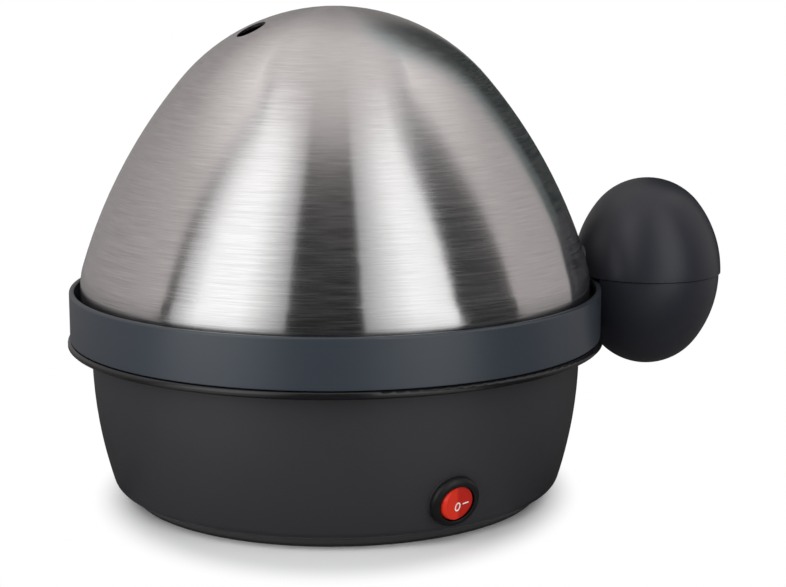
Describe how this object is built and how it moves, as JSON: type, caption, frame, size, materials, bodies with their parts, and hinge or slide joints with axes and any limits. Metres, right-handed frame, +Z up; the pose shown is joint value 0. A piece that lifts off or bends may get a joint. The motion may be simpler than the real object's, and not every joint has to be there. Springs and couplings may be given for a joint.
{
  "type": "electric egg boiler",
  "caption": "Countertop electric egg boiler: heated black base with a rocker switch, lift-off egg tray with a tall collar, brushed steel dome lid and a split egg-shaped side handle.",
  "frame": {"origin": "centre of the rubber foot ring, on the table's surface", "axes": "+Z up along the body's axis; +X from that axis towards the egg-shaped handle; the switch faces mostly -Y"},
  "size_m": [0.2151, 0.1726, 0.1565],
  "materials": {
    "bowl_plastic": "satin charcoal moulded plastic",
    "rim_plastic": "polished near-black plastic",
    "tray_plastic": "satin slate blue-grey moulded plastic",
    "handle_plastic": "fine satin charcoal moulded plastic",
    "lid_steel": "stainless steel, finely brushed round the dome",
    "pan_steel": "satin pressed stainless steel",
    "sheet_steel": "zinc-plated sheet steel",
    "fastener_steel": "nickel-plated steel",
    "heater_sheath": "dull oxidised steel tube",
    "spreader_aluminium": "cast aluminium",
    "thermostat_resin": "brown phenolic resin",
    "fuse_metal": "plated metal case",
    "foot_rubber": "matt black rubber",
    "seal_rubber": "grey silicone rubber",
    "switch_black": "glossy black plastic",
    "switch_red": "glossy red plastic",
    "switch_brass": "stamped brass",
    "lamp_glass": "clear glass neon lamp",
    "gland_nylon": "matt black nylon",
    "terminal_plastic": "off-white nylon"
  },
  "bodies": {
    "base": {"base_housing": "bowl_plastic", "bottom_cover": "bowl_plastic", "foot_ring": "foot_rubber", "cover_screws": "fastener_steel", "rim_ring": "rim_plastic", "pan_seal": "seal_rubber", "heating_pan": "pan_steel", "heat_spreader": "spreader_aluminium", "heating_element": "heater_sheath", "reflector_plate": "sheet_steel", "clamp_studs": "sheet_steel", "clamp_nuts": "fastener_steel", "thermostat": "thermostat_resin", "thermostat_bracket": "sheet_steel", "bracket_screws": "fastener_steel", "thermal_fuse": "fuse_metal", "fuse_clip": "sheet_steel", "switch_body": "switch_black", "switch_terminals": "switch_brass", "switch_lamp": "lamp_glass", "cord_gland": "gland_nylon", "gland_nut": "gland_nylon", "cord_clamp": "gland_nylon", "clamp_screws": "fastener_steel", "terminal_block": "terminal_plastic", "block_screws": "fastener_steel"},
    "rocker": {"switch_rocker": "switch_red"},
    "tray": {"egg_tray": "tray_plastic", "lower_handle_shell": "handle_plastic", "lower_handle_plate": "handle_plastic", "lower_plate_screws": "fastener_steel", "tongue_screws": "fastener_steel"},
    "lid": {"lid_dome": "lid_steel", "upper_handle_shell": "handle_plastic", "upper_handle_plate": "handle_plastic", "upper_plate_screws": "fastener_steel", "handle_washers": "fastener_steel", "upper_handle_screws": "fastener_steel"}
  },
  "joints": [
    {"name": "rocker_tilt", "type": "hinge", "parent": "base", "child": "rocker", "pos_m": [0.02419, -0.07066, 0.01435], "axis": [0.0896, 0.2743, -0.9575], "range_deg": [0, 20]},
    {"name": "tray_lift", "type": "slide", "parent": "base", "child": "tray", "axis": [0, 0, 1], "range_m": [0, 0.08]},
    {"name": "lid_lift", "type": "slide", "parent": "tray", "child": "lid", "axis": [0, 0, 1], "range_m": [0, 0.12]}
  ]
}
